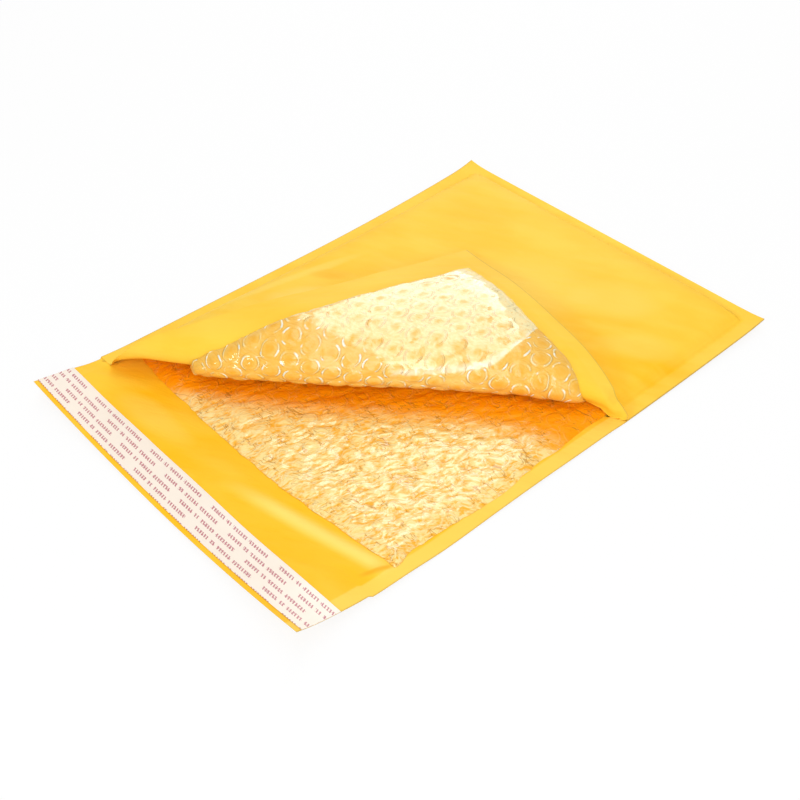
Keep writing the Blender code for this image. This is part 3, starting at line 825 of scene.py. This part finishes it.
def front_edge(u, v):
    """The folded-back film draws back from the seam where the fold ends."""
    ragged = 0.0006 * noise(u, v, RAG, 33) + 0.0006 * noise(u, v, SLOW_RAG, 34)
    tuck = 0.0130 * ease((v - 0.160) / 0.045) * (1.0 - ease((v - 0.215) / 0.02))
    inset = 0.0035 * ease((v - 0.055) / 0.10) - 0.0058 + tuck
    inset = (inset + ragged) * (1.0 - ease((v - 0.200) / 0.012))
    far_corner = 0.0120 * (1.0 - ease((u - 0.048) / 0.02))
    middle = 0.0016 * ease((u - 0.06) / 0.02) * ease((0.14 - u) / 0.03)
    mouth = far_corner - middle + 0.0030 * hill(u - 0.196, 0.012)
    return u - inset * ease((u - 0.16) / 0.06), v + (mouth + ragged) * mouth_side(v)


def back_paper(u, v):
    return back_sheet(*back_edge(u, v), LINING_PAPER - rim_drop(u, v))


def back_film(u, v):
    return back_sheet(*back_edge(u, v), film_depth(u, v, back_relief, BACK_TAPER))


def front_paper(u, v):
    return front_sheet(*front_edge(u, v), LINING_PAPER - rim_drop(u, v), LINING_HELD)


def front_film(u, v):
    depth = film_depth(u, v, front_relief, FRONT_TAPER)
    return front_sheet(*front_edge(u, v), depth, LINING_HELD)


FINER = 4
FINE_TO = 0.2155
u_film = np.linspace(FROM_SIDE, WIDTH - FROM_SIDE, FINER * 56 + 1)
v_film = np.concatenate([np.linspace(FLAP + FROM_MOUTH, FINE_TO, FINER * 44 + 1),
                         np.linspace(FINE_TO, LINING_JOIN, FINER * 7 + 1)[1:]])
u_paper = u_film[::FINER]
v_paper = np.append(v_film[::FINER], LINING_END)
lining = Sewn()
back_skinside = lining.grid(u_paper, v_paper, back_paper, BACK_OUTSIDE)
back_inside = lining.grid(u_film, v_film, back_film, BACK_INSIDE, crest=film_crest)
front_skinside = lining.grid(u_paper, v_paper, front_paper, FRONT_OUTSIDE)
front_inside = lining.grid(u_film, v_film, front_film, FRONT_INSIDE, crest=film_crest)
for column in (0, -1):
    lining.wall(back_skinside[column, :-1], back_inside[column])
    lining.wall(front_skinside[column, :-1], front_inside[column])
    a, b = back_skinside[column, -2:].tolist(), front_skinside[column, -2:].tolist()
    lining.faces.append([a[0], a[1], b[1], b[0], int(back_inside[column, -1])])
lining.wall(back_skinside[:, 0], back_inside[:, 0])
lining.wall(front_skinside[:, 0], front_inside[:, 0])
lining.wall(back_skinside[:, -1], front_skinside[:, -1])
bubble_film = lining.finish("bubble_film", "root", "clear_film", film_finish.material)
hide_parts("bubble_lining")


# Adhesive. A thin band of tacky hot-melt glue lies across the flap under the
# liner. It was run on hot, so it is glassy and slightly uneven.
GLUE = (0.84, 0.76, 0.56, 1.0)
THIN_GLUE = (0.90, 0.84, 0.68, 1.0)
glue_finish = Finish("Pale adhesive", roughness=0.25, coat_weight=0.5)
across, along, side = glue_finish.flat()
flow = glue_finish.noise(glue_finish.vector(across, along), 180.0, 3.0)
glue_finish.set("Base Color", glue_finish.blend(flow, GLUE, THIN_GLUE))
glue_finish.set("Normal", glue_finish.bump(flow, 0.4, 0.0004))


def flap_band(name, inset, start, end, low, high, slot, material):
    """A thin band across the flap, between two heights over its underside."""
    band = Sewn()
    u = lines([inset, WIDTH - inset], 0.0030)
    v = lines([start, end], 0.0025)
    under = band.grid(u, v, lambda u, v: back_sheet(u, v, low), BACK_OUTSIDE)
    over = band.grid(u, v, lambda u, v: back_sheet(u, v, high), BACK_INSIDE)
    for line in (0, -1):
        band.wall(under[line, :], over[line, :])
        band.wall(under[:, line], over[:, line])
    return band.finish(name, "root", slot, material)


glue_band = flap_band("glue_band", inset=0.0006, start=0.0055, end=0.0200, low=0.00035,
                      high=0.00048, slot="pale_adhesive", material=glue_finish.material)
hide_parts("adhesive_strip")


# Release liner. A strip of siliconed white paper covers the adhesive and is
# peeled off to close the mailer. Rows of small plum-red ticks are printed on it.
LINER_START = 0.0025
ROW_STEP = 0.0044
GROUP_STEP = 0.054
TICK_STEP = 0.0018
TICK_SLANT = 0.0022
PAPER = (0.87, 0.77, 0.65, 1.0)
LIT_PAPER = (0.92, 0.83, 0.73, 1.0)
PLUM_RED = (0.44, 0.055, 0.11, 1.0)
liner_finish = Finish("Printed release liner", roughness=0.38, coat_weight=0.2,
                      coat_roughness=0.2)
across, along, side = liner_finish.flat()
lane = (along - LINER_START) / ROW_STEP + 0.62
lane_number = lane.math('FLOOR')
height = lane - lane_number - 0.5
slant = across + height * TICK_SLANT
group = (slant / GROUP_STEP + lane_number * 0.37).math('FRACT')
gap = 1.0 - group.step(0.0, 0.004)
for middle, half in ((0.215, 0.014), (0.316, 0.014), (0.550, 0.014), (0.920, 0.078)):
    gap = gap + group.near(middle, half, half + 0.006)
tick = (slant / TICK_STEP).math('FRACT')
grit = liner_finish.noise(liner_finish.vector(across, along), 1100.0, 1.0)
stem = tick.near(0.35, 0.16, 0.24) + grit.step(0.50, 0.60) * 0.75
mark = height.near(0.0, 0.19, 0.23) * (1.0 - gap.math('MINIMUM', 1.0))
mark = mark * stem.math('MINIMUM', 1.0)
bare = liner_finish.noise(liner_finish.vector(across, along), 60.0)
paper = liner_finish.blend(bare, PAPER, LIT_PAPER)
liner_finish.set("Base Color", liner_finish.blend(mark * 0.85, paper, PLUM_RED))
cockle = liner_finish.noise(liner_finish.vector(across, along * 0.4), 120.0)
liner_finish.set("Normal", liner_finish.bump(cockle, 0.3, 0.0006))

liner_strip = flap_band("liner_strip", inset=-0.0002, start=LINER_START, end=0.0230,
                        low=0.00055, high=0.00068, slot="white_liner",
                        material=liner_finish.material)
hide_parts("release_liner")


# Studio. A white sweep, a soft white room and five softboxes, three of them in
# an arch over the mailer. Their reflections whiten the film that is pulled flat.
FLOOR_REACH = 6.0
FLOOR_DROP = 0.0004
floor_finish = Finish("White sweep", roughness=0.9, specular_level=0.0)
floor_finish.set("Base Color", (0.90, 0.90, 0.90, 1.0))
path = floor_finish.node("ShaderNodeLightPath", {}, {})
seen = Value(floor_finish, path.outputs["Is Camera Ray"])
seen = seen.math('MAXIMUM', path.outputs["Is Glossy Ray"])
seen = seen.math('MAXIMUM', path.outputs["Is Transmission Ray"])
white = floor_finish.node("ShaderNodeEmission", {}, {"Strength": 1.0}).outputs[0]
backdrop = floor_finish.node("ShaderNodeMixShader", {}, {
    0: seen * 0.88, 1: floor_finish.shader.outputs[0], 2: white})
floor_finish.feed(floor_finish.tree.nodes["Material Output"].inputs[0], backdrop.outputs[0])
floor_data = bpy.data.meshes.new("floor")
floor_data.from_pydata(
    [(x * FLOOR_REACH, y * FLOOR_REACH, 0.0) for x, y in ((-1, -1), (1, -1), (1, 1), (-1, 1))],
    [], [(0, 1, 2, 3)])
floor_data.materials.append(floor_finish.material)
floor = bpy.data.objects.new("floor", floor_data)
floor.location.z = -FLOOR_DROP
bpy.context.scene.collection.objects.link(floor)

ROOM_LIGHT = 0.38
world = bpy.data.worlds.new("Studio")
world.use_nodes = True
bpy.context.scene.world = world
sky = world.node_tree.nodes["Background"]
sky.inputs["Color"].default_value = (1.0, 1.0, 1.0, 1.0)
path = world.node_tree.nodes.new("ShaderNodeLightPath")
seen = world.node_tree.nodes.new("ShaderNodeMath")
seen.operation = 'MULTIPLY_ADD'
seen.inputs[1].default_value = 1.0 - ROOM_LIGHT
seen.inputs[2].default_value = ROOM_LIGHT
world.node_tree.links.new(path.outputs["Is Camera Ray"], seen.inputs[0])
world.node_tree.links.new(seen.outputs[0], sky.inputs["Strength"])

WINDOW_SIDE = radians(133.0)
DISTANCE = 1.4


def softbox(name, rise, sideways, width, height, radiance):
    """A flat lamp on an arch from the window side, rise degrees up, over the mailer."""
    rise, sideways = radians(rise), radians(sideways)
    ahead = Vector((cos(WINDOW_SIDE), sin(WINDOW_SIDE), 0.0))
    across = Vector((-sin(WINDOW_SIDE), cos(WINDOW_SIDE), 0.0))
    out = cos(rise) * ahead + sin(rise) * Vector((0.0, 0.0, 1.0))
    out = cos(sideways) * out + sin(sideways) * across
    turn = out.cross(across).normalized()
    level = turn.cross(out)
    light = bpy.data.lights.new(name, 'AREA')
    light.shape = 'RECTANGLE'
    light.size = 2.0 * DISTANCE * tan(radians(width / 2.0))
    light.size_y = 2.0 * DISTANCE * tan(radians(height / 2.0))
    light.energy = radiance * pi * light.size * light.size_y
    item = bpy.data.objects.new(name, light)
    item.matrix_world = Matrix((
        (level.x, turn.x, out.x, DISTANCE * out.x),
        (level.y, turn.y, out.y, DISTANCE * out.y),
        (level.z, turn.z, out.z, DISTANCE * out.z),
        (0.0, 0.0, 0.0, 1.0),
    ))
    bpy.context.scene.collection.objects.link(item)


softbox("Window softbox", 37.0, 0.0, 21.0, 64.0, 3.0)
softbox("Overhead softbox", 91.0, 1.5, 15.0, 44.0, 3.0)
softbox("Near softbox", 137.0, -1.0, 12.0, 48.0, 5.0)
softbox("Front softbox", 145.0, 30.0, 9.0, 9.0, 20.0)
softbox("Side softbox", 150.0, -32.0, 30.0, 30.0, 2.2)

bpy.context.scene.view_settings.view_transform = 'Standard'
